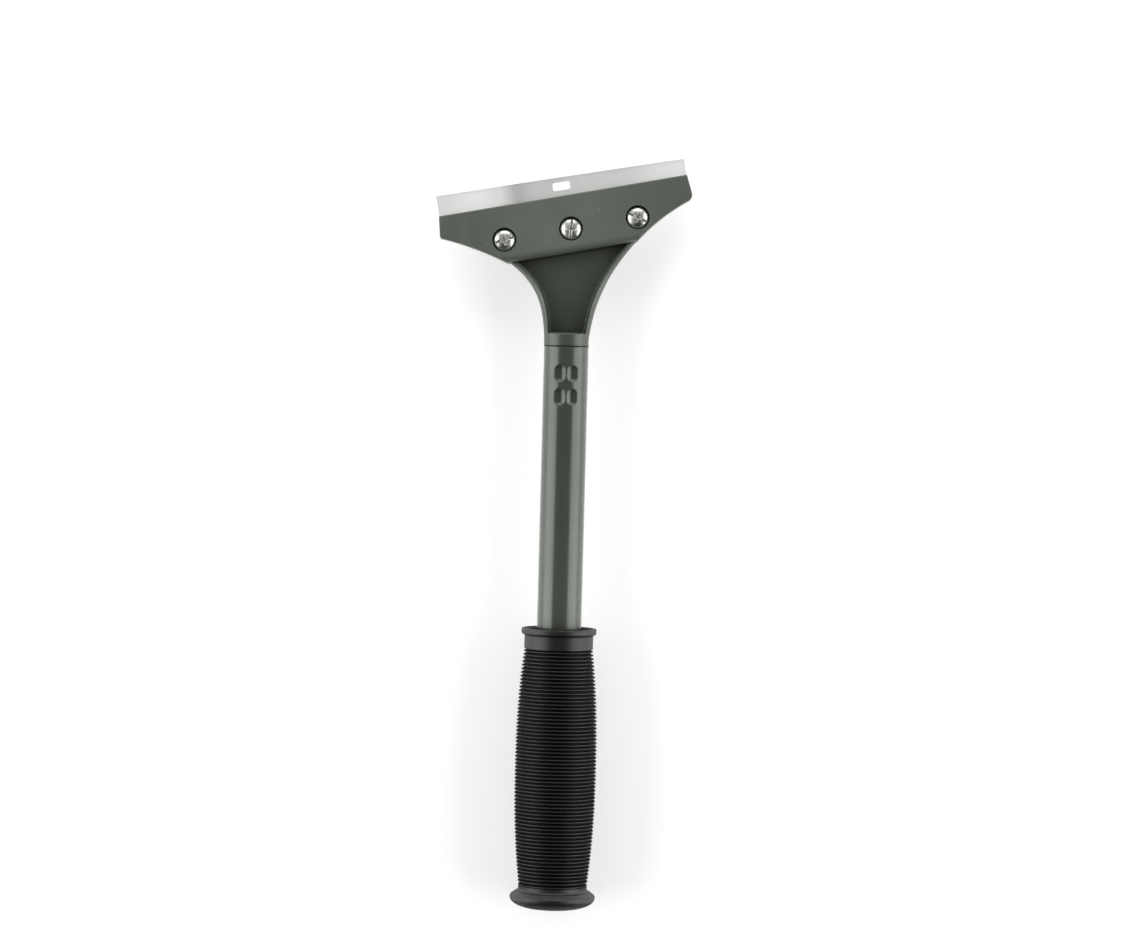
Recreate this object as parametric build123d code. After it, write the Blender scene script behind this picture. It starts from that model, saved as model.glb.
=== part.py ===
from build123d import *

# A long-handled wall scraper, lying on its back with the screws up.
# Lengths are millimetres and angles are degrees.
# The origin is the centre of the grip's flat butt end. +Y runs up the tube towards the blade,
# +Z is the side that carries the clamp plate, and +X is to the right when the blade points away.
# The pieces are a die-cast holder with its neck and spigot, a clamp plate, a double-edged blade,
# three screws with their lock washers, a painted steel tube and a ribbed rubber grip.

import os
from math import cos, pi, radians, sin

# Blade
blade_length = 101.0
blade_width = 15.0
blade_thickness = 0.6
blade_bevel = 1.3
blade_edge_flat = 0.12
blade_slot_length = 7.0
blade_slot_width = 3.2
blade_slot_corner = 0.8
blade_slot_inset = 3.65
blade_reach = 7.8
blade_crook_angle = 0.9

# Head: turned across the tube by its skew, and down from the tube by its bend and its drop
head_skew_angle = 11.0
head_bend_angle = 1.5
head_rise = 46.8
head_drop = 3.0
head_shift = 0.3

# Outline that the clamp plate and the holder's back plate share, from the screw row
plate_top_width = 101.0
plate_side_width = 103.0
plate_bottom_width = 52.6
plate_front = 13.65
left_side_drop = 8.6
right_side_drop = 9.7
plate_rear = 9.4
left_flank_bow = 1.0
right_flank_bow = 1.5
left_corner_round = 0.8
right_corner_round = 2.6
clamp_thickness = 5.6
clamp_edge_round = 0.4
clamp_rear_round = 3.0
back_thickness = 5.2
back_edge_round = 1.0
nose_bevel = 2.2

# Screws and lock washers
screw_spacing = 27.1
screw_row_shift = 1.0
screw_diameter = 4.0
screw_length = 7.0
screw_pitch = 0.7
screw_thread_depth = 0.35
screw_neck_length = 1.0
screw_head_diameter = 8.5
screw_head_height = 2.6
screw_head_side = 1.4
driver_slot_width = 1.1
driver_slot_depth = 0.9
cross_span = 4.6
cross_width = 1.1
cross_depth = 2.0
cross_floor_span = 1.4
cross_floor_width = 0.6
washer_thickness = 0.9
washer_wire = 1.3
washer_split = 0.8
counterbore_diameter = 9.7
driver_slot_angles = {"left": 7.5, "middle": 74.5, "right": -34.5}

# Tube and the dents that crimp it to the spigot
tube_diameter = 18.0
tube_length = 220.3
tube_wall = 1.2
tube_end_bevel = 0.25
crimp_width = 2.7
crimp_length = 4.8
crimp_depth = 1.4
crimp_corner = 1.2
crimp_offset = 3.1
crimp_shift = 0.3
crimp_first = 10.9
crimp_pitch = 9.4
crimp_draft_angle = 45.0

# Neck of the holder, from the round collar at the tube to the back plate
collar_diameter = 18.2
collar_length = 4.0
spigot_length = 30.0
spigot_bevel = 1.0
neck_root = 3.8
neck_shift = 0.9
neck_belly = 4.8
neck_rim_height = 3.4
neck_start_share = 0.2
neck_flare_share = 2.65
neck_round_share = 2.0
neck_square_share = 8.0
neck_stations = 10
section_points = 24
pocket_start_rim = 1.6
pocket_end_rim = 2.8
pocket_wall = 0.9
pocket_start = 1.25
pocket_end_angle = 2.0
pocket_start_floor = 1.2
pocket_end_floor = 0.3

# Grip
grip_length = 113.2
grip_floor = 6.5
grip_collar_radius = 13.85
grip_barrel_radius = 16.45
barrel_share = 2.4
rib_count = 65
rib_pitch = 1.473
rib_height = 0.95
rib_gap = 0.5
rib_crest_width = 0.5
rib_crest_rise = 0.17
rib_start = 9.25
butt_radius = 17.2
butt_widest = 4.5
butt_face_radius = 6.5
butt_edge_radius = 16.4
butt_edge_end = 5.95
butt_slope_radius = 15.2
butt_slope_end = 6.9
butt_root_end = 8.5
lip_radius = 15.1
lip_thickness = 2.5
lip_round = 0.8
lip_crown_round = 0.35
dish_mouth_radius = 13.9
dish_radius = 12.4
dish_depth = 1.9
dish_slope = 0.7

# Fits, on the radius or on one face
spigot_fit = 0.1
grip_fit = 0.05
thread_fit = 0.05
shank_fit = 0.25
washer_fit = 0.12
crimp_fit = 0.1
blade_play = 0.1
shoulder_gap = 0.15

# How far a cutting shape runs past the face that it opens
overrun = 1.0

# Places that follow from the sizes above
tube_radius = tube_diameter / 2
seam = grip_floor + tube_length
collar_radius = collar_diameter / 2
clamp_floor = clamp_thickness - screw_head_height - washer_thickness
screw_seat = clamp_floor + washer_thickness
blade_seat = blade_thickness + blade_play
blade_centre = plate_front + blade_reach - blade_width / 2
blade_swing = blade_length / 2 * sin(radians(blade_crook_angle))
seat_shoulder = blade_centre - blade_width / 2 - blade_swing - blade_play


def slanted(skew, bend):
    """Directions across, along and out of a plate that is skewed and bent from the tube."""
    skew, bend = radians(skew), radians(bend)
    across = Vector(cos(skew), sin(skew), 0)
    along = Vector(-sin(skew) * cos(bend), cos(skew) * cos(bend), -sin(bend))
    return across, along, across.cross(along)


head_across, head_along, head_out = slanted(head_skew_angle, head_bend_angle)
head_centre = (-head_shift, seam + head_rise, -head_drop)
head = Plane(origin=head_centre, x_dir=head_across, z_dir=head_out)


def extruded(outline, low, high):
    """A prism of a flat outline between two heights above the joint plane."""
    return Pos(0, 0, low) * extrude(outline, high - low, dir=(0, 0, 1))


def screw_places():
    """Where the screw row's centres lie in the head's own plane."""
    for step, side in enumerate(driver_slot_angles, start=-1):
        yield side, screw_row_shift + step * screw_spacing


def plate_outline():
    """The head's outline: straight front, leaning sides, hollow flanks and a short straight rear."""
    top, side, bottom = plate_top_width / 2, plate_side_width / 2, plate_bottom_width / 2
    right, left = plate_front - right_side_drop, plate_front - left_side_drop
    flank = (side + bottom) / 2
    right_middle = (flank, (right - plate_rear) / 2 + right_flank_bow)
    left_middle = (-flank, (left - plate_rear) / 2 + left_flank_bow)
    edges = [
        Line((-top, plate_front), (top, plate_front)),
        Line((top, plate_front), (side, right)),
        ThreePointArc((side, right), right_middle, (bottom, -plate_rear)),
        Line((bottom, -plate_rear), (-bottom, -plate_rear)),
        ThreePointArc((-bottom, -plate_rear), left_middle, (-side, left)),
        Line((-side, left), (-top, plate_front)),
    ]
    return make_face(Wire(edges))


def plate_blank(low, high):
    """A plate of the shared outline with its two side corners rounded."""
    plate = extruded(plate_outline(), low, high)
    corners = ((-1, left_side_drop, left_corner_round), (1, right_side_drop, right_corner_round))
    for side, drop, size in corners:
        corner = (side * plate_side_width / 2, plate_front - drop, (low + high) / 2)
        edge = plate.edges().filter_by(Axis.Z).sort_by_distance(corner)[0]
        plate = fillet(edge, size)
    return plate


def make_clamp_plate():
    """Cast plate that presses on the blade, with a counterbored hole for each screw."""
    plate = plate_blank(0, clamp_thickness)
    rear = plate.faces().sort_by(Axis.Z)[-1].edges().sort_by(Axis.Y)[0]
    plate = fillet(rear, clamp_rear_round)
    rim = plate.faces().sort_by(Axis.Z)[-1].edges().sort_by(Axis.Y)[1:]
    plate = fillet(rim, clamp_edge_round)
    hole = Circle(screw_diameter / 2 + shank_fit)
    counterbore = Circle(counterbore_diameter / 2)
    for _, place in screw_places():
        plate -= Pos(place, 0) * extruded(hole, -overrun, clamp_thickness + overrun)
        plate -= Pos(place, 0) * extruded(counterbore, clamp_floor, clamp_thickness + overrun)
    return head.location * plate


def make_blade():
    """Double-edged steel strip, ground along both long edges, with a pull slot behind each."""
    half, flat = blade_thickness / 2, blade_edge_flat / 2
    edge = blade_width / 2
    shoulder = edge - blade_bevel
    right_half = [(shoulder, half), (edge, flat), (edge, -flat), (shoulder, -half)]
    left_half = [(-x, -y) for x, y in right_half]
    section = make_face(Polyline(*right_half, *left_half, close=True))
    strip = extrude(section, blade_length / 2, both=True)
    # The section's width turns to run along +Y, and its length along +X
    strip = Rot(0, 90, 0) * Rot(0, 0, 90) * strip
    slot = RectangleRounded(blade_slot_length, blade_slot_width, blade_slot_corner)
    for side in (-1, 1):
        place = side * (edge - blade_slot_inset)
        strip -= Pos(0, place) * extruded(slot, -blade_thickness, blade_thickness)
    seated = Pos(0, blade_centre, half - blade_seat) * Rot(0, 0, -blade_crook_angle) * strip
    return head.location * seated


def eased(share):
    """A share from 0 to 1 that starts and stops gently."""
    return share * share * (3 - 2 * share)


def neck_end():
    """Centre of the neck's last section, inside the back plate."""
    middle = (neck_rim_height - neck_belly) / 2
    return head.from_local_coords(Vector(neck_shift, neck_root - plate_rear, middle))


def neck_plane(share, start=0, lean=0):
    """Plane of the neck's section at a share of its length, start further up, leaning back."""
    across, along, _ = slanted(head_skew_angle * eased(share), head_bend_angle * eased(share) - lean)
    end, begin = neck_end(), seam + collar_length
    reach = end.Y - begin
    fall = end.Z * eased(share) - sin(radians(head_bend_angle)) * reach * (share**3 - share**2)
    origin = (end.X * share, begin + start + reach * share, fall)
    return Plane(origin=origin, x_dir=across, z_dir=-along)


def neck_size(share):
    """Half width, half height and squareness of the neck's section at a share of its length."""
    flare = neck_start_share * share + (1 - neck_start_share) * share**neck_flare_share
    end_width = plate_bottom_width / 2 + neck_root
    end_height = (neck_rim_height + neck_belly) / 2
    width = collar_radius + (end_width - collar_radius) * flare
    height = collar_radius + (end_height - collar_radius) * eased(share)
    squaring = 1 - (1 - eased(share)) ** 2
    squareness = neck_round_share + (neck_square_share - neck_round_share) * squaring
    return width, height, squareness


def neck_section(share):
    """Rounded section of the neck: a circle at the collar, a flat rounded oblong at the plate."""
    width, height, squareness = neck_size(share)
    points = []
    for step in range(section_points):
        turn = 2 * pi * step / section_points
        across, up = cos(turn), sin(turn)
        x = width * abs(across) ** (2 / squareness) * (1 if across > 0 else -1)
        y = height * abs(up) ** (2 / squareness) * (1 if up > 0 else -1)
        points.append((x, y))
    return make_face(Wire(Spline(*points, periodic=True)))


def pocket_section(share, floor):
    """Section of the neck's pocket: flat floor and sloping walls that meet the rim's crest."""
    width, height, squareness = neck_size(share)
    crest = width - pocket_start_rim - (pocket_end_rim - pocket_start_rim) * share
    crest_height = height * (1 - (crest / width) ** squareness) ** (1 / squareness)
    foot, top = crest - pocket_wall, height + overrun
    mouth = foot + pocket_wall * (top - floor) / (crest_height - floor)
    corners = [(-foot, floor), (foot, floor), (mouth, top), (-mouth, top)]
    return make_face(Polyline(*corners, close=True))


def make_pocket():
    """The hollow in the neck's front, open towards the clamp plate."""
    end_floor = pocket_end_floor - (neck_rim_height - neck_belly) / 2
    first = neck_plane(0, start=pocket_start, lean=pocket_end_angle)
    sections = [first.location * pocket_section(0, pocket_start_floor)]
    for step in range(2, neck_stations + 1):
        share = step / neck_stations
        floor = pocket_start_floor + (end_floor - pocket_start_floor) * eased(share)
        sections.append(neck_plane(share).location * pocket_section(share, floor))
    return loft(sections)


def make_neck():
    """Solid neck that swells from the tube's round into the flat of the head."""
    collar = Plane(origin=(0, seam, 0), x_dir=(1, 0, 0), z_dir=(0, -1, 0))
    sections = [collar.location * neck_section(0)]
    for step in range(neck_stations + 1):
        share = step / neck_stations
        sections.append(neck_plane(share).location * neck_section(share))
    return loft(sections)


def crimp(extra, low, high):
    """One dent's shape, grown all round by extra, between two heights over the tube's axis."""
    width, length = crimp_width + 2 * extra, crimp_length + 2 * extra
    outline = RectangleRounded(width, length, crimp_corner + extra)
    return Pos(0, 0, low) * extrude(outline, high - low, taper=-crimp_draft_angle)


def crimps(extra, low, high):
    """Every dent round the tube's end: two rows of two, on the front and on the back."""
    dents = []
    for row in range(2):
        place = seam - crimp_first - row * crimp_pitch
        for facing in (0, 180):
            for side in (-1, 1):
                seat = Pos(crimp_shift, place, 0) * Rot(0, facing, 0) * Pos(side * crimp_offset, 0, 0)
                dents.append(seat * crimp(extra, low, high))
    return dents


def round_bar(radius, begin, end):
    """A bar about the tube's axis from one place along it to another."""
    return Pos(0, (begin + end) / 2, 0) * Rot(90, 0, 0) * Cylinder(radius, end - begin)


def make_back_plate():
    """Rear jaw of the holder, bevelled at the nose and rounded along its back."""
    plate = plate_blank(-back_thickness, 0)
    nose = plate.faces().sort_by(Axis.Z)[0].edges().sort_by(Axis.Y)[-1]
    plate = chamfer(nose, nose_bevel)
    rim = plate.faces().sort_by(Axis.Z)[0].edges().sort_by(Axis.Y)[:-1]
    return fillet(rim, back_edge_round)


def make_holder():
    """Die-cast holder: back plate with the blade's seat, pocketed neck, collar and spigot."""
    wide, long = plate_side_width, plate_front + overrun - seat_shoulder
    seat = Pos(0, seat_shoulder + long / 2) * Rectangle(2 * wide, long)
    clamp_room = Rectangle(2 * wide, 2 * wide, align=(Align.CENTER, Align.MIN))
    clamp_room = Pos(0, -plate_rear - shoulder_gap) * clamp_room
    threaded = Circle(screw_diameter / 2 + thread_fit)
    holder = head.location * make_back_plate() + make_neck()
    holder -= make_pocket()
    holder -= head.location * extruded(clamp_room, 0, 2 * collar_radius)
    holder -= head.location * extruded(seat, -blade_seat, overrun)
    for _, place in screw_places():
        bore = Pos(place, 0) * extruded(threaded, -back_thickness - overrun, overrun)
        holder -= head.location * bore
    spigot = round_bar(tube_radius - tube_wall - spigot_fit, seam - spigot_length, seam)
    spigot = chamfer(spigot.edges().sort_by(Axis.Y)[0], spigot_bevel)
    dent_floor = tube_radius - crimp_depth - tube_wall - crimp_fit
    for dent in crimps(tube_wall + crimp_fit, dent_floor, tube_radius):
        spigot -= dent
    return holder + spigot


def make_tube():
    """Steel tube, pressed in at eight places so that it grips the spigot."""
    bore_radius = tube_radius - tube_wall
    tube = round_bar(tube_radius, grip_floor, seam)
    tube = chamfer(tube.edges().sort_by(Axis.Y)[-1], tube_end_bevel)
    tube -= round_bar(bore_radius, grip_floor - overrun, seam + overrun)
    dent_floor = tube_radius - crimp_depth
    within = round_bar(tube_radius - tube_wall / 2, grip_floor, seam)
    for bulge in crimps(tube_wall, dent_floor - tube_wall, tube_radius):
        tube += bulge & within
    for dent in crimps(0, dent_floor, tube_radius + overrun):
        tube -= dent
    return tube


def barrel_radius(place):
    """Radius of the grip's ribbed barrel at a place along it."""
    half = rib_count * rib_pitch / 2
    share = (place - rib_start - half) / half
    swell = grip_barrel_radius - grip_collar_radius
    return grip_collar_radius + swell * (1 - abs(share) ** barrel_share)


def rib_edges():
    """The ribbed barrel's outline: steep flanks, a rounded crest and a narrow groove per rib."""
    edges, begin = [], rib_start
    for _ in range(rib_count):
        crest, end = begin + (rib_pitch - rib_gap) / 2, begin + rib_pitch - rib_gap
        top = barrel_radius(crest)
        foot = (barrel_radius(begin) - rib_height, begin)
        near = (top - rib_crest_rise, crest - rib_crest_width / 2)
        far = (top - rib_crest_rise, crest + rib_crest_width / 2)
        far_foot = (barrel_radius(end) - rib_height, end)
        begin += rib_pitch
        next_foot = (barrel_radius(begin) - rib_height, begin)
        edges += [Line(foot, near), ThreePointArc(near, (top, crest), far)]
        edges += [Line(far, far_foot), Line(far_foot, next_foot)]
    return edges, begin


def quarter(start, end, middle):
    """An arc from start to end that bulges as a quarter round about middle does."""
    swell = cos(radians(45))
    x = middle[0] + (start[0] + end[0] - 2 * middle[0]) * swell
    y = middle[1] + (start[1] + end[1] - 2 * middle[1]) * swell
    return ThreePointArc(start, (x, y), end)


def make_grip():
    """Moulded rubber grip: closed flanged butt, ribbed barrel, plain collar and dished lip."""
    ribs, ribs_end = rib_edges()
    bore = tube_radius + grip_fit
    foot_radius = grip_collar_radius - rib_height
    under_lip = grip_length - lip_thickness
    dome_reach = butt_radius - butt_face_radius
    dome_centre = (butt_face_radius, butt_widest)
    butt_end = Polyline((0, grip_floor), (0, 0), (butt_face_radius, 0))
    dome = EllipticalCenterArc(dome_centre, dome_reach, butt_widest, start_angle=-90, arc_size=90)
    widest, edge_end = (butt_radius, butt_widest), (butt_edge_radius, butt_edge_end)
    slope_end, root_end = (butt_slope_radius, butt_slope_end), (grip_collar_radius, butt_root_end)
    flange = [
        quarter(widest, edge_end, (butt_edge_radius, butt_widest)),
        Line(edge_end, slope_end),
        quarter(slope_end, root_end, (butt_slope_radius, butt_root_end)),
    ]
    waist = Polyline(root_end, (grip_collar_radius, rib_start), (foot_radius, rib_start))
    lip_foot = (lip_radius - lip_round, under_lip)
    lip_side = (lip_radius, under_lip + lip_round)
    crown_side = (lip_radius, grip_length - lip_crown_round)
    crown = (lip_radius - lip_crown_round, grip_length)
    collar = Polyline(
        (foot_radius, ribs_end),
        (grip_collar_radius, ribs_end),
        (grip_collar_radius, under_lip),
        lip_foot,
    )
    lip = [
        quarter(lip_foot, lip_side, (lip_foot[0], lip_side[1])),
        Line(lip_side, crown_side),
        quarter(crown_side, crown, (crown[0], crown_side[1])),
    ]
    dish = Polyline(
        crown,
        (dish_mouth_radius, grip_length),
        (dish_radius, grip_length - dish_depth),
        (bore, grip_length - dish_depth + dish_slope),
        (bore, grip_floor),
        (0, grip_floor),
    )
    edges = [*butt_end.edges(), dome, *flange, *waist.edges(), *ribs]
    edges += [*collar.edges(), *lip, *dish.edges()]
    return revolve(make_face(Wire(edges)), Axis.Y)


def thread_points():
    """The shank's outline below the head: a plain neck, then one ridge for each pitch."""
    crest = screw_diameter / 2
    root = crest - screw_thread_depth
    points = [(crest, 0), (crest, -screw_neck_length)]
    place = screw_neck_length
    while place + screw_pitch <= screw_length - screw_thread_depth:
        points.append((root, -place - screw_pitch / 2))
        place += screw_pitch
        points.append((crest, -place))
    return points + [(root, -screw_length), (0, -screw_length)]


def make_screw(side, place):
    """Pan-head machine screw with a driver slot across its cross recess."""
    rim = screw_head_diameter / 2
    dome = screw_head_height - screw_head_side
    shoulder = (rim, screw_head_side)
    crown = (0, screw_head_height)
    dome_radius = (rim * rim + dome * dome) / (2 * dome)
    edges = Polyline(*reversed(thread_points()), (rim, 0), shoulder).edges()
    edges += [RadiusArc(shoulder, crown, -dome_radius)]
    edges += [Line(crown, (0, -screw_length))]
    profile = Plane.XZ.location * make_face(Wire(edges))
    screw = revolve(profile, Axis.Z)
    slot = Pos(0, 0, screw_head_height - driver_slot_depth) * Box(
        screw_head_diameter + overrun,
        driver_slot_width,
        screw_head_height,
        align=(Align.CENTER, Align.CENTER, Align.MIN),
    )
    mouth = Pos(0, 0, screw_head_height) * Rectangle(cross_span, cross_width)
    floor = Pos(0, 0, screw_head_height - cross_depth)
    wing = loft([floor * Rectangle(cross_floor_span, cross_floor_width), mouth])
    screw -= slot
    screw -= wing
    screw -= Rot(0, 0, 90) * wing
    seated = Pos(place, 0, screw_seat) * Rot(0, 0, driver_slot_angles[side]) * screw
    return head.location * seated


def make_washer(side, place):
    """Lock washer under the screw head: a square-wire ring cut through at one side."""
    inner = screw_diameter / 2 + washer_fit
    ring = extrude(Circle(inner + washer_wire) - Circle(inner), washer_thickness)
    gap = Pos(inner + washer_wire / 2, 0, washer_thickness / 2) * Box(
        2 * washer_wire, washer_split, 2 * washer_thickness
    )
    ring -= gap
    seated = Pos(place, 0, clamp_floor) * Rot(0, 0, driver_slot_angles[side]) * ring
    return head.location * seated


pieces = {
    "holder": make_holder(),
    "clamp_plate": make_clamp_plate(),
    "blade": make_blade(),
    "tube": make_tube(),
    "grip": make_grip(),
}
for side, place in screw_places():
    pieces[f"screw_{side}"] = make_screw(side, place)
    pieces[f"washer_{side}"] = make_washer(side, place)

os.makedirs("parts", exist_ok=True)
for name, piece in pieces.items():
    export_step(piece, f"parts/{name}.step")
    print(name, round(piece.volume), "cubic mm")
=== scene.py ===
# %% [markdown]
# # Dressing a wall scraper
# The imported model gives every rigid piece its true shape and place. This lesson adds what the
# eye reads as material: satin paint on a rough casting, glossy paint on a rolled tube, ground
# blade steel, bright zinc screws and moulded rubber. The tool lies on its back, screws up, so
# the camera hangs above it and looks straight down.

# %% Load the frame
import bpy
import math
from mathutils import Matrix, Vector


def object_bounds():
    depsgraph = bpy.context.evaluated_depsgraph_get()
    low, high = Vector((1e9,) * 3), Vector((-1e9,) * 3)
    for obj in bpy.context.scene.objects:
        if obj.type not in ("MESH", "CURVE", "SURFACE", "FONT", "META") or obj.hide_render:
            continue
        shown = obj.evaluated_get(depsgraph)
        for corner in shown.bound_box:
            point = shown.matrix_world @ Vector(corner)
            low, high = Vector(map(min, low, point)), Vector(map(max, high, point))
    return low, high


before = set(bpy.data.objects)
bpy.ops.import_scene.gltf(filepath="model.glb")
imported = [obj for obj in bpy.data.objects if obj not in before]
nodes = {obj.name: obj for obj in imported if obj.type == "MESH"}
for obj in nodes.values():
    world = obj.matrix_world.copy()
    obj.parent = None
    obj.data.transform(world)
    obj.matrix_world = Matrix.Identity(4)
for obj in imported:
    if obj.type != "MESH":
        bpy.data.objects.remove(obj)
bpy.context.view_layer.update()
MM = 0.001


def box_of(name):
    """Lowest and highest corner of one CAD node, in the frame's metres."""
    corners = [nodes[name].matrix_world @ Vector(corner) for corner in nodes[name].bound_box]
    return [Vector(edge(corner[i] for corner in corners) for i in range(3)) for edge in (min, max)]


print("nodes:", ", ".join(sorted(nodes)))

# %% [markdown]
# ## Where the camera stands
# The photograph is taken square to the tube from far away, so rings round the tube look almost
# like straight lines. They open a little towards the grip, and that tells how far away the
# camera was. A long lens at 1.6 m gives the same view. The tool leans a degree and a half in
# the picture, so the camera is rolled rather than the tool turned.

# %% Camera
SENSOR = 36 * MM
CAMERA_PLACE = Vector((-0.1, 226.3, 1600)) * MM
CAMERA_AIM = Vector((0.5, 178.8, 0)) * MM
CAMERA_ROLL = math.radians(1.48)
VIEW_WIDTH = 454 * MM


def add_camera():
    """A long-lens camera above the tool, rolled so that the tool leans as in the photograph."""
    data = bpy.data.cameras.new("camera")
    camera = bpy.data.objects.new("camera", data)
    bpy.context.scene.collection.objects.link(camera)
    data.sensor_width = SENSOR / MM
    data.lens = data.sensor_width * CAMERA_PLACE.z / VIEW_WIDTH
    data.clip_start, data.clip_end = 10 * MM, 10.0
    toward = (CAMERA_AIM - CAMERA_PLACE).normalized()
    right = toward.cross(Vector((0, 1, 0))).normalized()
    up = right.cross(toward)
    turn = Matrix.Rotation(CAMERA_ROLL, 3, "Z")
    facing = Matrix((right, up, -toward)).transposed() @ turn
    camera.matrix_world = Matrix.Translation(CAMERA_PLACE) @ facing.to_4x4()
    bpy.context.scene.camera = camera
    return camera


camera = add_camera()
bpy.context.scene.view_settings.view_transform = "Standard"
print("lens", round(camera.data.lens, 1), "mm")

# %% [markdown]
# ## Light
# The tube in the photograph has a dark stripe down the middle and a pale band on each side that
# runs right to its edge. A round bar is a mirror for whatever stands beside it, so a tall white
# wall of light stood on each side, from the table up to about fifty degrees, and nothing bright
# hung overhead. The domed screw heads are bright at the top and dark at the bottom, so a third,
# weaker light stood beyond the blade. The same three lights draw the same bands here.

# %% Softboxes
SIDE_DISTANCE = 0.85
SIDE_HEIGHT = 1.0
SIDE_LENGTH = 1.3
SIDE_RADIANCE = 2.6
FAR_DISTANCE = 1.1
FAR_HEIGHT = 1.0
FAR_LENGTH = 1.2
FAR_RADIANCE = 2.2
FLOOR_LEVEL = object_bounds()[0][2]
TOOL_MIDDLE = Vector((0, 0.17, FLOOR_LEVEL))


def add_wall_light(name, heading, distance, height, length, radiance):
    """An upright white wall of light that stands on the floor and faces the tool."""
    data = bpy.data.lights.new(name, "AREA")
    data.shape = "RECTANGLE"
    data.size, data.size_y = length, height
    data.energy = math.pi * length * height * radiance
    lamp = bpy.data.objects.new(name, data)
    bpy.context.scene.collection.objects.link(lamp)
    away = Vector((math.sin(heading), math.cos(heading), 0))
    up = Vector((0, 0, 1))
    facing = Matrix((up.cross(away), up, away)).transposed()
    middle = TOOL_MIDDLE + away * distance + up * (height / 2 + 5 * MM)
    lamp.matrix_world = Matrix.Translation(middle) @ facing.to_4x4()
    lamp.visible_camera = False
    return lamp


SIDE = (SIDE_DISTANCE, SIDE_HEIGHT, SIDE_LENGTH, SIDE_RADIANCE)
FAR = (FAR_DISTANCE, FAR_HEIGHT, FAR_LENGTH, FAR_RADIANCE)
walls = [
    add_wall_light("light_left", math.radians(-90), *SIDE),
    add_wall_light("light_right", math.radians(90), *SIDE),
    add_wall_light("light_far", 0, *FAR),
]
print("lights at", [tuple(round(v, 2) for v in lamp.location) for lamp in walls])

# %% [markdown]
# ## Building materials from small parts
# A material is a graph of nodes. These helpers add a node, set its unlinked inputs and connect
# it, so that each finish below reads as a short recipe. Effects that several finishes share are
# node groups with named inputs and outputs.

# %% Node helpers
def node(tree, kind, at=(0, 0), **settings):
    """A new node, with plain attributes set by name."""
    made = tree.nodes.new(kind)
    made.location = at
    for name, value in settings.items():
        setattr(made, name, value)
    return made


def feed(tree, target, **values):
    """Sets inputs by name: a socket is linked, anything else becomes the input's value."""
    for name, value in values.items():
        socket = target.inputs[name.replace("_", " ")]
        if isinstance(value, bpy.types.NodeSocket):
            tree.links.new(value, socket)
        else:
            socket.default_value = value
    return target


print("helpers ready: node, feed")

# %% Sums and ramps
def math_node(tree, operation, first, second=0.0):
    """One sum of two values or sockets, and its result."""
    made = node(tree, "ShaderNodeMath", operation=operation)
    for socket, value in zip(made.inputs, (first, second)):
        if isinstance(value, bpy.types.NodeSocket):
            tree.links.new(value, socket)
        else:
            socket.default_value = value
    return made.outputs[0]


def ramp(tree, value, low, high, low_out=0.0, high_out=1.0):
    """Maps a value smoothly from one range to another, clamped at both ends."""
    made = node(tree, "ShaderNodeMapRange", interpolation_type="SMOOTHSTEP")
    tree.links.new(value, made.inputs["Value"])
    made.inputs["From Min"].default_value = low
    made.inputs["From Max"].default_value = high
    made.inputs["To Min"].default_value = low_out
    made.inputs["To Max"].default_value = high_out
    return made.outputs["Result"]


print("helpers ready: math_node, ramp")

# %% A colour between two
def mix_colour(tree, share, first, second):
    """A colour between two colours or sockets."""
    made = node(tree, "ShaderNodeMix", data_type="RGBA")
    for name, value in (("Factor", share), ("A", first), ("B", second)):
        socket = next(s for s in made.inputs if s.name == name and s.enabled)
        if isinstance(value, bpy.types.NodeSocket):
            tree.links.new(value, socket)
        else:
            socket.default_value = (*value, 1) if isinstance(value, tuple) else value
    return next(s for s in made.outputs if s.enabled)


print("helper ready: mix_colour")

# %% Node groups
def new_group(name, inputs, outputs):
    """An empty node group with float inputs and outputs, and its two end nodes."""
    group = bpy.data.node_groups.new(name, "ShaderNodeTree")
    for label, value in inputs.items():
        socket = group.interface.new_socket(label, in_out="INPUT", socket_type="NodeSocketFloat")
        socket.default_value = value
    for label in outputs:
        group.interface.new_socket(label, in_out="OUTPUT", socket_type="NodeSocketFloat")
    start = node(group, "NodeGroupInput", (-800, 0))
    end = node(group, "NodeGroupOutput", (600, 0))
    return group, start, end


def place_group(tree, group, **values):
    """A node group put into a material, with its own values."""
    made = node(tree, "ShaderNodeGroup")
    made.node_tree = group
    return feed(tree, made, **values)


print("helpers ready: new_group, place_group")

# %% [markdown]
# ## Shared effects
# Paint, rubber and plating all have a fine skin: a slow swell under a finer grain. Handling
# leaves faint blotches where the finish is duller, and small specks are chips or dust.

# %% Skin relief
def skin_group():
    """Height of a moulded or painted skin: a slow swell plus fine grain."""
    group, start, end = new_group("skin", {"Grain": 900.0, "Swell": 150.0, "Share": 0.5}, ["Height"])
    place = node(group, "ShaderNodeTexCoord").outputs["Object"]
    grain = node(group, "ShaderNodeTexNoise")
    swell = node(group, "ShaderNodeTexNoise")
    feed(group, grain, Vector=place, Scale=start.outputs["Grain"], Detail=4.0, Roughness=0.6)
    feed(group, swell, Vector=place, Scale=start.outputs["Swell"], Detail=2.0, Roughness=0.5)
    fine = math_node(group, "MULTIPLY", grain.outputs["Fac"], start.outputs["Share"])
    height = math_node(group, "ADD", fine, swell.outputs["Fac"])
    group.links.new(height, end.inputs["Height"])
    return group


SKIN = skin_group()
print("group:", SKIN.name)

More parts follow.
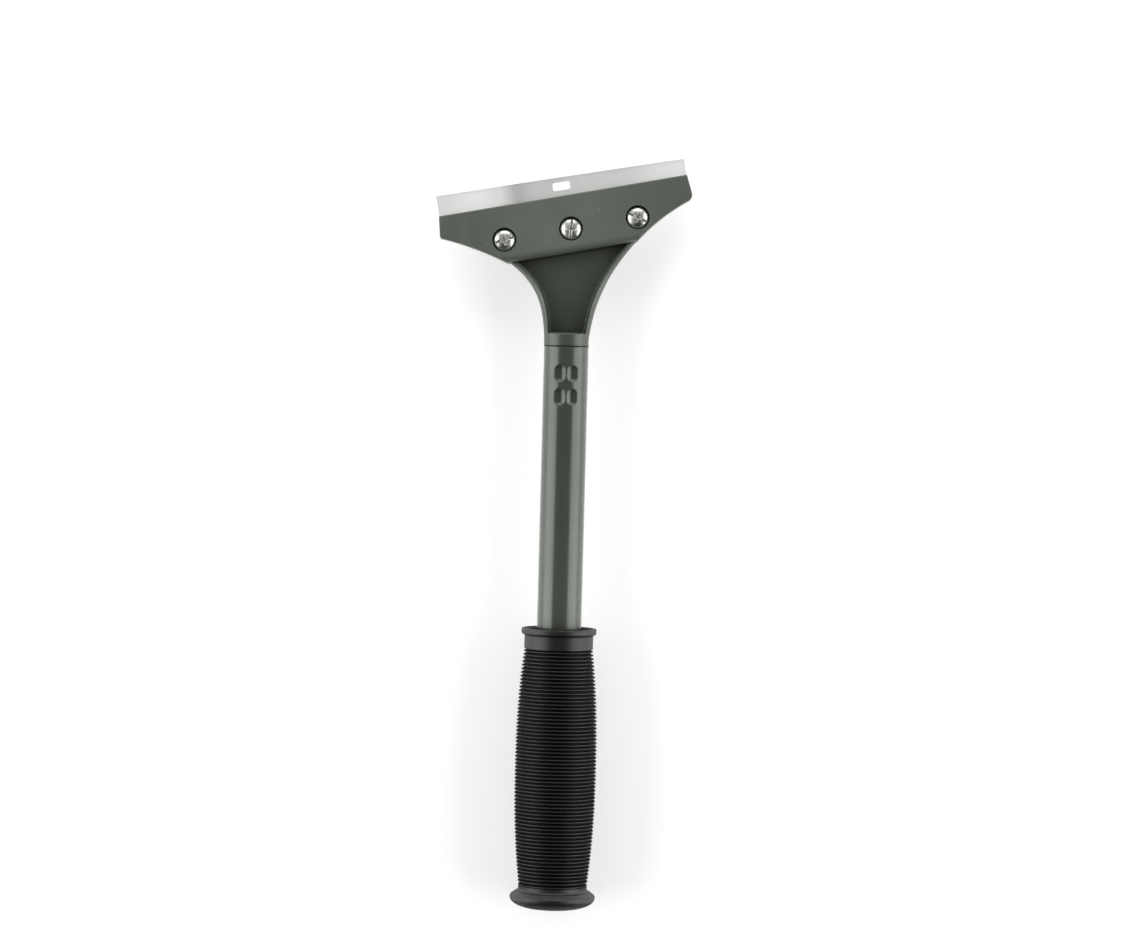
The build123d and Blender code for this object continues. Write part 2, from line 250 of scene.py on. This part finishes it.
# %% Blotches
def blotch_group():
    """A soft, uneven mask for handling marks and dull patches."""
    group, start, end = new_group("blotches", {"Scale": 40.0, "Low": 0.42, "High": 0.66}, ["Mask"])
    place = node(group, "ShaderNodeTexCoord").outputs["Object"]
    cloud = node(group, "ShaderNodeTexNoise")
    feed(group, cloud, Vector=place, Scale=start.outputs["Scale"], Detail=5.0, Roughness=0.65)
    cloud.inputs["Distortion"].default_value = 0.6
    spread = node(group, "ShaderNodeMapRange", interpolation_type="SMOOTHSTEP")
    group.links.new(cloud.outputs["Fac"], spread.inputs["Value"])
    group.links.new(start.outputs["Low"], spread.inputs["From Min"])
    group.links.new(start.outputs["High"], spread.inputs["From Max"])
    group.links.new(spread.outputs["Result"], end.inputs["Mask"])
    return group


BLOTCHES = blotch_group()
print("group:", BLOTCHES.name)

# %% Specks
def speck_group():
    """Sparse tiny spots, such as chips in paint or dust on rubber."""
    group, start, end = new_group("specks", {"Scale": 500.0, "Size": 0.2, "Few": 0.8}, ["Mask"])
    place = node(group, "ShaderNodeTexCoord").outputs["Object"]
    cells = node(group, "ShaderNodeTexVoronoi")
    feed(group, cells, Vector=place, Scale=start.outputs["Scale"])
    near = math_node(group, "LESS_THAN", cells.outputs["Distance"], start.outputs["Size"])
    chosen = node(group, "ShaderNodeSeparateColor")
    group.links.new(cells.outputs["Color"], chosen.inputs["Color"])
    kept = math_node(group, "GREATER_THAN", chosen.outputs["Red"], start.outputs["Few"])
    group.links.new(math_node(group, "MULTIPLY", near, kept), end.inputs["Mask"])
    return group


SPECKS = speck_group()
print("group:", SPECKS.name)

# %% [markdown]
# ## Effects that follow the shape
# Corners and grooves catch little light, so one effect tells how open a spot is, and the finishes
# paint shade there. The head is turned across the tube, and what is ground on it and the painted
# streaks of highlight and reflection run along or across the head, so the next effects measure in
# a direction: bands across it, and a stripe that is full near a line and fades away from it. The
# last finds faces that lean down to the grip, where no light stands and dust settles.

# %% Where the head is
HEAD_SKEW = math.radians(11.0)
ALONG_HEAD = Vector((math.cos(HEAD_SKEW), math.sin(HEAD_SKEW), 0))
BLADE_LOW, BLADE_HIGH = box_of("blade")
BLADE_HALF = (BLADE_HIGH.x - BLADE_LOW.x) / 2 / ALONG_HEAD.x
HEAD_MIDDLE = (BLADE_LOW + BLADE_HIGH).dot(ALONG_HEAD) / 2
print("blade is", round(2 * BLADE_HALF / MM, 1), "mm long")

# %% Directions on the part
def axis_of(tree, vector, axis):
    """One axis of a vector, as a value."""
    split = node(tree, "ShaderNodeSeparateXYZ")
    tree.links.new(vector, split.inputs["Vector"])
    return split.outputs[axis]


def turned_place(tree):
    """Places on the part in metres, turned so that X runs along the blade."""
    turned = node(tree, "ShaderNodeMapping")
    place = node(tree, "ShaderNodeTexCoord").outputs["Object"]
    return feed(tree, turned, Vector=place, Rotation=(0, 0, -HEAD_SKEW)).outputs["Vector"]


print("head is turned", round(math.degrees(HEAD_SKEW), 1), "degrees across the tube")

# %% Hollows
def hollow_group():
    """How open a spot is: 1 on a free face, less where walls stand within reach of it."""
    group, start, end = new_group("hollows", {"Reach": 0.01, "Low": 0.5, "High": 1.0}, ["Open"])
    shade = node(group, "ShaderNodeAmbientOcclusion", samples=8)
    feed(group, shade, Distance=start.outputs["Reach"])
    spread = node(group, "ShaderNodeMapRange")
    group.links.new(shade.outputs["AO"], spread.inputs["Value"])
    group.links.new(start.outputs["Low"], spread.inputs["From Min"])
    group.links.new(start.outputs["High"], spread.inputs["From Max"])
    group.links.new(spread.outputs["Result"], end.inputs["Open"])
    return group


HOLLOWS = hollow_group()
print("group:", HOLLOWS.name)

# %% Bands and stripes
def band_group():
    """Slow bands that run across the head, for painted streaks of highlight and reflection."""
    group, start, end = new_group("bands", {"Scale": 55.0}, ["Height"])
    stretched = node(group, "ShaderNodeMapping")
    feed(group, stretched, Vector=turned_place(group), Scale=(1.0, 0.08, 0.08))
    bands = node(group, "ShaderNodeTexNoise")
    feed(group, bands, Vector=stretched.outputs["Vector"], Scale=start.outputs["Scale"], Detail=2.0)
    group.links.new(bands.outputs["Fac"], end.inputs["Height"])
    return group


def stripe_group():
    """1 near a line across the head or the tube, fading to 0 on both sides of it."""
    inputs = {"Turned": 0.0, "Line": 0.0, "Full": 0.001, "Fade": 0.002}
    group, start, end = new_group("stripe", inputs, ["Mask"])
    on_tube = axis_of(group, node(group, "ShaderNodeTexCoord").outputs["Object"], "Y")
    on_head = axis_of(group, turned_place(group), "X")
    chosen = node(group, "ShaderNodeMix", data_type="FLOAT")
    group.links.new(start.outputs["Turned"], chosen.inputs[0])
    group.links.new(on_tube, chosen.inputs[2])
    group.links.new(on_head, chosen.inputs[3])
    away = math_node(group, "SUBTRACT", chosen.outputs[0], start.outputs["Line"])
    spread = node(group, "ShaderNodeMapRange", interpolation_type="SMOOTHSTEP")
    group.links.new(math_node(group, "ABSOLUTE", away), spread.inputs["Value"])
    group.links.new(start.outputs["Full"], spread.inputs["From Max"])
    group.links.new(start.outputs["Fade"], spread.inputs["From Min"])
    group.links.new(spread.outputs["Result"], end.inputs["Mask"])
    return group


BANDS, STRIPE = band_group(), stripe_group()
print("groups:", BANDS.name, "and", STRIPE.name)

# %% The near side
def near_side_group():
    """1 where the surface turns down towards the grip, 0 where it faces up."""
    group, start, end = new_group("near side", {"Low": 0.1, "High": 0.75}, ["Mask"])
    slope = axis_of(group, node(group, "ShaderNodeTexCoord").outputs["Normal"], "Y")
    spread = node(group, "ShaderNodeMapRange", interpolation_type="SMOOTHSTEP")
    group.links.new(math_node(group, "MULTIPLY", slope, -1.0), spread.inputs["Value"])
    group.links.new(start.outputs["Low"], spread.inputs["From Min"])
    group.links.new(start.outputs["High"], spread.inputs["From Max"])
    group.links.new(spread.outputs["Result"], end.inputs["Mask"])
    return group


NEAR_SIDE = near_side_group()
print("group:", NEAR_SIDE.name)

# %% [markdown]
# ## One finish, step by step
# Every finish starts as Blender's all-round shader with a few constants. What is the same all
# over a surface, such as how metallic it is, is set on the shader itself. What changes over the
# surface is then linked in, and a height becomes a bent normal, so no mesh has to be made finer.

# %% A blank finish
def finish(name, **shader_values):
    """A new material and its main shader, with constant values set on the shader itself."""
    material = bpy.data.materials.new(name)
    material.use_nodes = True
    tree = material.node_tree
    shader = tree.nodes["Principled BSDF"]
    feed(tree, shader, **shader_values)
    return material, tree, shader


def bump(tree, height, distance, strength=1.0, normal=None):
    """Turns a height into a bent normal."""
    made = node(tree, "ShaderNodeBump")
    feed(tree, made, Height=height, Distance=distance, Strength=strength)
    if normal is not None:
        tree.links.new(normal, made.inputs["Normal"])
    return made.outputs["Normal"]


def dress(material, *names):
    """Gives CAD nodes a finish in place of their plain one."""
    for name in names:
        nodes[name].data.materials.clear()
        nodes[name].data.materials.append(material)
    print(material.name, "on", ", ".join(names))


print("helpers ready: finish, bump, dress")

# %% [markdown]
# ## Paint
# One grey-green paint with a fine metallic grain covers the tube and both castings. On the drawn
# tube it lies smooth and mirrors the lights as crisp bands. The holder is nearly as glossy, with
# the casting's skin showing through. The clamp plate's face is the duller of the two castings,
# so it spreads the light, and its colour is painted paler than the holder's and the tube's, lit and
# shaded copies of one paint. Pale specks are chips, and blotches of gloss come from handling.
# Hollows are darkened with painted shade. One recipe makes all three, and a small table says how
# each piece differs.

# %% Overlays and painted edge highlights
THIN_LEAN, FULL_LEAN = 0.88, 0.99


def stained(tree, colour, mask, share, stain):
    """A colour with another colour laid over it, up to a share, where the mask says: stains and painted
    light alike.
    """
    return mix_colour(tree, math_node(tree, "MULTIPLY", mask, share), colour, stain)


def thin_edges(tree, rounded):
    """1 on sharp edges, where a pale painted highlight line goes, told by how far the rounded normal leans.
    """
    lean = node(tree, "ShaderNodeVectorMath", operation="DOT_PRODUCT")
    tree.links.new(rounded, lean.inputs[0])
    tree.links.new(node(tree, "ShaderNodeNewGeometry").outputs["Normal"], lean.inputs[1])
    return ramp(tree, lean.outputs["Value"], THIN_LEAN, FULL_LEAN, 1.0, 0.0)


print("helpers ready: stained, thin_edges")

# %% Paint colour
PAINT = (0.118, 0.132, 0.112)
PAINT_DEEP = (0.100, 0.113, 0.095)
# painted shade: the dark colour laid into hollows, and also the colour of the thin dark joint ring
SHADE_AND_JOINT_DARK = (0.030, 0.033, 0.027)
CHIP_AND_HIGHLIGHT = (0.33, 0.34, 0.31)
LIGHTER_TONE = 1.25
CLOUD_SHARE = 0.8
BLOTCH_SHARE = 0.5
BAND_SHARE = 0.2
SHADE_SHARE = 0.75
SHADE_REACH = 14 * MM


def paint_colour(tree, tone, chips, blotches, rounded, overlays):
    """Grey-green, cloudy, with painted streaks of highlight, chips, painted shade in the hollows and the
    table's overlays.
    """
    fresh, deep = (tuple(tone * value for value in shade) for shade in (PAINT, PAINT_DEEP))
    lighter = tuple(LIGHTER_TONE * value for value in fresh)
    clouds = place_group(tree, BLOTCHES, Scale=16.0, Low=0.3, High=0.7).outputs["Mask"]
    colour = mix_colour(tree, math_node(tree, "MULTIPLY", clouds, CLOUD_SHARE), fresh, deep)
    colour = stained(tree, colour, blotches, BLOTCH_SHARE, deep)
    # pale bands across the head: painted streaks of highlight, strongest on the plate
    bands = ramp(tree, place_group(tree, BANDS, Scale=55.0).outputs["Height"], 0.45, 0.7)
    colour = stained(tree, colour, bands, overlays.get("bands", BAND_SHARE), lighter)
    # a paler stripe: on the plate it is a painted pool of light in the middle
    if "pale" in overlays:
        share, line = overlays["pale"]
        colour = stained(tree, colour, place_group(tree, STRIPE, **line).outputs["Mask"], share, lighter)
    specks = place_group(tree, SPECKS, Scale=420.0, Size=0.12, Few=chips).outputs["Mask"]
    colour = mix_colour(tree, specks, colour, CHIP_AND_HIGHLIGHT)
    # painted shade: the colour darkens where walls stand close round a spot
    open_spot = place_group(tree, HOLLOWS, Reach=SHADE_REACH, Low=0.25, High=0.95).outputs["Open"]
    colour = mix_colour(tree, ramp(tree, open_spot, 0.0, 1.0, SHADE_SHARE, 0.0), colour, SHADE_AND_JOINT_DARK)
    # painted highlight: a pale line along sharp edges
    if "edges" in overlays:
        colour = stained(tree, colour, thin_edges(tree, rounded), overlays["edges"], CHIP_AND_HIGHLIGHT)
    if "joint" in overlays:
        joint = place_group(tree, STRIPE, **overlays["joint"]).outputs["Mask"]
        colour = mix_colour(tree, joint, colour, SHADE_AND_JOINT_DARK)
    return colour


print("paint colour ready")

# %% Paint recipe
DULLED = 0.06


def soft_corners(tree, radius):
    """The surface's direction with its sharp corners rounded off."""
    made = node(tree, "ShaderNodeBevel", samples=6)
    return feed(tree, made, Radius=radius).outputs["Normal"]


def paint(name, skin, relief, corner, gloss, metal, shine, tone, chips, grazing, overlays):
    """Grey-green metallic paint over a skin that is rough for a casting and smooth for a tube."""
    material, tree, shader = finish(name, Metallic=metal, Specular_IOR_Level=shine)
    shader.inputs["Specular Tint"].default_value = (grazing, grazing, grazing, 1)
    blotches = place_group(tree, BLOTCHES, Scale=45.0).outputs["Mask"]
    rounded = soft_corners(tree, corner)
    colour = paint_colour(tree, tone, chips, blotches, rounded, overlays)
    height = place_group(tree, SKIN, **skin).outputs["Height"]
    normal = bump(tree, height, relief, 0.6, rounded)
    roughness = ramp(tree, blotches, 0.0, 1.0, gloss, gloss + DULLED)
    feed(tree, shader, Base_Color=colour, Roughness=roughness, Normal=normal)
    return material


print("paint recipe ready")

# %% [markdown]
# ## The three painted pieces
# The middle of the clamp plate is painted paler, a painted pool of light. The holder's sharp edges,
# the pocket's rim among them, get a pale painted highlight line. The tube is paler just above the
# grip. A thin dark ring marks where the tube meets the holder's collar.

# %% Painted pieces
CAST_SKIN = {"Grain": 1400.0, "Swell": 260.0, "Share": 0.45}
DRAWN_SKIN = {"Grain": 1100.0, "Swell": 180.0, "Share": 0.25}
JOINT = {"Line": box_of("tube")[1].y, "Full": 0.18 * MM, "Fade": 0.34 * MM}
# painted light: the plate's middle is painted paler
LIT_MIDDLE = {"Turned": 1.0, "Line": HEAD_MIDDLE, "Full": 0.25 * BLADE_HALF, "Fade": 0.9 * BLADE_HALF}
NEAR_GRIP = {"Line": box_of("grip")[1].y, "Full": 5 * MM, "Fade": 90 * MM}
# tone makes lit and shaded copies of the one paint: the plate painted paler, the holder and the tube darker
PLATE_FINISH = dict(
    skin=CAST_SKIN, relief=0.045 * MM, corner=0.35 * MM, gloss=0.48, metal=0.45, shine=0.45,
    tone=1.12, chips=0.94, grazing=1.0,
    overlays={"bands": 0.7, "pale": (0.75, LIT_MIDDLE)},
)
HOLDER_FINISH = dict(
    skin=CAST_SKIN, relief=0.02 * MM, corner=0.6 * MM, gloss=0.3, metal=0.45, shine=0.45,
    tone=0.88, chips=0.94, grazing=0.35,
    overlays={"bands": 0.3, "edges": 0.2, "joint": JOINT},
)
TUBE_FINISH = dict(
    skin=DRAWN_SKIN, relief=0.008 * MM, corner=0.8 * MM, gloss=0.2, metal=0.42, shine=0.42,
    tone=0.78, chips=0.985, grazing=1.0,
    overlays={"pale": (0.5, NEAR_GRIP), "joint": JOINT},
)
dress(paint("plate_paint", **PLATE_FINISH), "clamp_plate")
dress(paint("holder_paint", **HOLDER_FINISH), "holder")
dress(paint("tube_paint", **TUBE_FINISH), "tube")

# %% [markdown]
# ## Blade steel
# The blade is rolled strip whose flats are ground the short way. Fine grinding lines scatter
# light across themselves, so the lights at both sides smear along the whole blade and make it
# pale under a dim ceiling. Slow duller bands, the reflections of a strip that isn't quite flat, are painted
# into its colour.

# %% Blade steel
GRIND_SPREAD = 0.95
# painted reflection: positions along the blade and the shade of each band
REFLECTION_BAND_SHADES = (
    (0.0, 0.82), (0.2, 0.95), (0.28, 0.88), (0.36, 0.56), (0.44, 0.68), (0.7, 0.74), (1.0, 0.93),
)


def painted_reflection_bands(tree, along):
    """Painted reflection: the strip's slow pale and dull bands, given as shares of its length and their
    shade.
    """
    share = node(tree, "ShaderNodeMapRange")
    tree.links.new(along, share.inputs["Value"])
    share.inputs["From Min"].default_value = HEAD_MIDDLE - BLADE_HALF
    share.inputs["From Max"].default_value = HEAD_MIDDLE + BLADE_HALF
    sheen = node(tree, "ShaderNodeValToRGB")
    tree.links.new(share.outputs["Result"], sheen.inputs["Fac"])
    sheen.color_ramp.interpolation = "EASE"
    stops = sheen.color_ramp.elements
    while len(stops) < len(REFLECTION_BAND_SHADES):
        stops.new(0.5)
    for stop, (place, shade) in zip(stops, REFLECTION_BAND_SHADES):
        stop.position, stop.color = place, (shade, shade, 0.985 * shade, 1)
    return sheen.outputs["Color"]


def blade_steel():
    """Ground strip steel with slow bands of painted reflection and a fine grain across the blade."""
    material, tree, shader = finish("blade_steel", Metallic=1.0, Anisotropic=GRIND_SPREAD)
    turned = turned_place(tree)
    stretched = node(tree, "ShaderNodeMapping")
    feed(tree, stretched, Vector=turned, Scale=(1.0, 0.06, 1.0))
    grain = node(tree, "ShaderNodeTexNoise")
    feed(tree, grain, Vector=stretched.outputs["Vector"], Scale=3200.0, Detail=3.0)
    bands = place_group(tree, BANDS, Scale=60.0).outputs["Height"]
    wander = math_node(tree, "MULTIPLY", bands, 0.1 * BLADE_HALF)
    along = math_node(tree, "ADD", axis_of(tree, turned, "X"), wander)
    roughness = ramp(tree, grain.outputs["Fac"], 0.3, 0.7, 0.44, 0.52)
    normal = bump(tree, grain.outputs["Fac"], 0.004 * MM, 0.5)
    across = feed(tree, node(tree, "ShaderNodeCombineXYZ"), X=ALONG_HEAD.x, Y=ALONG_HEAD.y)
    feed(tree, shader, Base_Color=painted_reflection_bands(tree, along), Roughness=roughness)
    feed(tree, shader, Normal=normal, Tangent=across.outputs[0])
    return material


dress(blade_steel(), "blade")

# %% [markdown]
# ## Bright zinc
# The screws and washers are zinc plated: bright, slightly cloudy, with soft corners.

# %% Zinc plate
ZINC = (0.93, 0.94, 0.90)
ZINC_CLOUD = (0.78, 0.79, 0.74)


def zinc_plate():
    """Bright zinc plating with a faint cloud."""
    material, tree, shader = finish("zinc_plate", Metallic=1.0)
    cloud = place_group(tree, BLOTCHES, Scale=420.0).outputs["Mask"]
    colour = mix_colour(tree, cloud, ZINC, ZINC_CLOUD)
    skin = place_group(tree, SKIN, Grain=2600.0, Swell=700.0, Share=0.6).outputs["Height"]
    normal = bump(tree, skin, 0.02 * MM, 0.5, soft_corners(tree, 0.2 * MM))
    roughness = ramp(tree, cloud, 0.0, 1.0, 0.26, 0.38)
    feed(tree, shader, Base_Color=colour, Roughness=roughness, Normal=normal)
    return material


SIDES = ("left", "middle", "right")
dress(zinc_plate(), *[f"{kind}_{side}" for kind in ("screw", "washer") for side in SIDES])

# %% [markdown]
# ## Moulded rubber
# The grip is soft black rubber straight from the mould. Its gloss is a thin skin over a dull
# body, so the gloss is the shader's coat: full on the crests of the ribs, and gone in the
# grooves, in the dish round the tube and under dust on faces that lean down. Hands rub the
# sides of the ribbed barrel dull, while the smooth ends keep their gloss.

# %% Where the rubber shines
RUBBER_GLOSS = 0.8
GRAZING_GLOSS = 0.2
RUBBED_GLOSS = 0.45
DUSTY_GLOSS = 0.2
SMOOTH_END = 9 * MM
GRIP_LOW, GRIP_HIGH = box_of("grip")
BARREL = (GRIP_HIGH.y - GRIP_LOW.y) / 2 - SMOOTH_END
RUBBED = {"Line": (GRIP_LOW.y + GRIP_HIGH.y) / 2, "Full": BARREL, "Fade": BARREL + 2 * MM}


def rubber_gloss(tree, open_spot):
    """Gloss that fades in hollows, at the sides, on the rubbed ribs and on faces that lean down."""
    facing = node(tree, "ShaderNodeLayerWeight").outputs["Facing"]
    gloss = math_node(tree, "MULTIPLY", open_spot, ramp(tree, facing, 0.4, 1.0, RUBBER_GLOSS, GRAZING_GLOSS))
    clean = ramp(tree, place_group(tree, NEAR_SIDE).outputs["Mask"], 0.0, 1.0, 1.0, DUSTY_GLOSS)
    gloss = math_node(tree, "MULTIPLY", gloss, clean)
    rubbed = place_group(tree, STRIPE, **RUBBED).outputs["Mask"]
    rubbed = math_node(tree, "MULTIPLY", rubbed, ramp(tree, facing, 0.1, 0.6))
    return math_node(tree, "MULTIPLY", gloss, ramp(tree, rubbed, 0.0, 1.0, 1.0, RUBBED_GLOSS))


print("ribbed barrel is", round(2 * BARREL / MM, 1), "mm long")

# %% Grip rubber
RUBBER = (0.0090, 0.0092, 0.0086)
RUBBER_BLOOM = (0.0130, 0.0130, 0.0120)
RUBBER_SHADE = (0.0015, 0.0015, 0.0015)
DUST = (0.12, 0.12, 0.11)


def grip_rubber():
    """Dull black moulded rubber with a glossy skin that stops in the hollows, where painted shade darkens
    it.
    """
    material, tree, shader = finish("grip_rubber", Specular_IOR_Level=0.05, Coat_Roughness=0.4)
    bloom = place_group(tree, BLOTCHES, Scale=70.0).outputs["Mask"]
    dust = place_group(tree, SPECKS, Scale=1500.0, Size=0.2, Few=0.9).outputs["Mask"]
    groove = place_group(tree, HOLLOWS, Reach=0.8 * MM, Low=0.55, High=0.97).outputs["Open"]
    dish = place_group(tree, HOLLOWS, Reach=7 * MM, Low=0.45, High=0.8).outputs["Open"]
    open_spot = math_node(tree, "MULTIPLY", groove, dish)
    colour = mix_colour(tree, bloom, RUBBER, RUBBER_BLOOM)
    colour = stained(tree, colour, dust, 0.25, DUST)
    # painted shade: the rubber's colour darkens in the grooves and the dish round the tube
    colour = mix_colour(tree, open_spot, RUBBER_SHADE, colour)
    height = place_group(tree, SKIN, Grain=2200.0, Swell=300.0, Share=0.5).outputs["Height"]
    roughness = ramp(tree, bloom, 0.0, 1.0, 0.6, 0.75)
    feed(tree, shader, Base_Color=colour, Roughness=roughness)
    feed(tree, shader, Coat_Weight=rubber_gloss(tree, open_spot))
    feed(tree, shader, Normal=bump(tree, height, 0.03 * MM, 0.6))
    return material


dress(grip_rubber(), "grip")

# %% [markdown]
# ## Floor and surroundings
# The photograph is cut out on white. A white floor lit only by the lamps would come out grey
# near the tool, so the floor adds a little glow that only the camera and mirror-like rays see.
# Further off the glow grows, so the floor is white in every view. The tool keeps its soft
# shadow, and no extra light falls on it.

# %% White floor
FLOOR_GLOW = 0.40
SHADOW_REACH = (0.35, 1.0)
MIRRORED_GLOW = 0.8
FLOOR_SIZE = 8.0
FLOOR_WHITE = 0.9


def floor_glow(tree):
    """A little glow for the camera, more in mirror-like reflections, none as light on the tool."""
    away = node(tree, "ShaderNodeVectorMath", operation="LENGTH")
    tree.links.new(node(tree, "ShaderNodeTexCoord").outputs["Object"], away.inputs[0])
    whiter = ramp(tree, away.outputs["Value"], *SHADOW_REACH, FLOOR_GLOW, 1.0)
    path = node(tree, "ShaderNodeLightPath")
    direct = math_node(tree, "MAXIMUM", path.outputs["Is Camera Ray"], path.outputs["Is Transmission Ray"])
    direct = math_node(tree, "MULTIPLY", direct, whiter)
    mirrored = math_node(tree, "MULTIPLY", path.outputs["Is Glossy Ray"], MIRRORED_GLOW)
    return math_node(tree, "MAXIMUM", direct, mirrored)


def white_floor():
    """A white floor that the tool rests on."""
    bpy.ops.mesh.primitive_plane_add(size=FLOOR_SIZE, location=TOOL_MIDDLE)
    floor = bpy.context.object
    floor.name = "floor"
    white = (FLOOR_WHITE, FLOOR_WHITE, FLOOR_WHITE, 1)
    material, tree, shader = finish("floor_white", Base_Color=white, Roughness=0.9)
    feed(tree, shader, Specular_IOR_Level=0.0, Emission_Color=(1, 1, 1, 1))
    tree.links.new(floor_glow(tree), shader.inputs["Emission Strength"])
    floor.data.materials.append(material)
    return floor


floor = white_floor()
print("floor at", round(floor.location.z / MM, 2), "mm")

# %% [markdown]
# ## The room
# The tool also mirrors the room. It is pale at the horizon and dim overhead, which leaves the
# dark stripe down the tube, and it is dark on the grip's side, because the photograph shows the
# undersides of the lip and the butt nearly black. Heights and sides are given by where a ray
# points: 1 is straight up or straight past the blade, and 0 is level or straight across.

# %% Pale room
OVERHEAD = 0.125
HORIZON = 0.8
DIM_FROM, DIM_FULL = 0.3, 0.75
DARK_NEAR = 0.08
DARK_FULL, DARK_FROM = -0.5, 0.1


def white_world():
    """White to the camera, and otherwise a pale room, dim overhead and dark on the near side."""
    world = bpy.data.worlds.new("surroundings")
    world.use_nodes = True
    tree = world.node_tree
    background = tree.nodes["Background"]
    way = node(tree, "ShaderNodeTexCoord").outputs["Generated"]
    split = node(tree, "ShaderNodeSeparateXYZ")
    tree.links.new(way, split.inputs["Vector"])
    room = ramp(tree, split.outputs["Z"], DIM_FROM, DIM_FULL, HORIZON, OVERHEAD)
    beyond = ramp(tree, split.outputs["Y"], DARK_FULL, DARK_FROM, DARK_NEAR, 1.0)
    room = math_node(tree, "MULTIPLY", room, beyond)
    path = node(tree, "ShaderNodeLightPath").outputs["Is Camera Ray"]
    tree.links.new(math_node(tree, "MAXIMUM", path, room), background.inputs["Strength"])
    background.inputs["Color"].default_value = (1, 1, 1, 1)
    bpy.context.scene.world = world


white_world()
print("room:", bpy.context.scene.world.name)
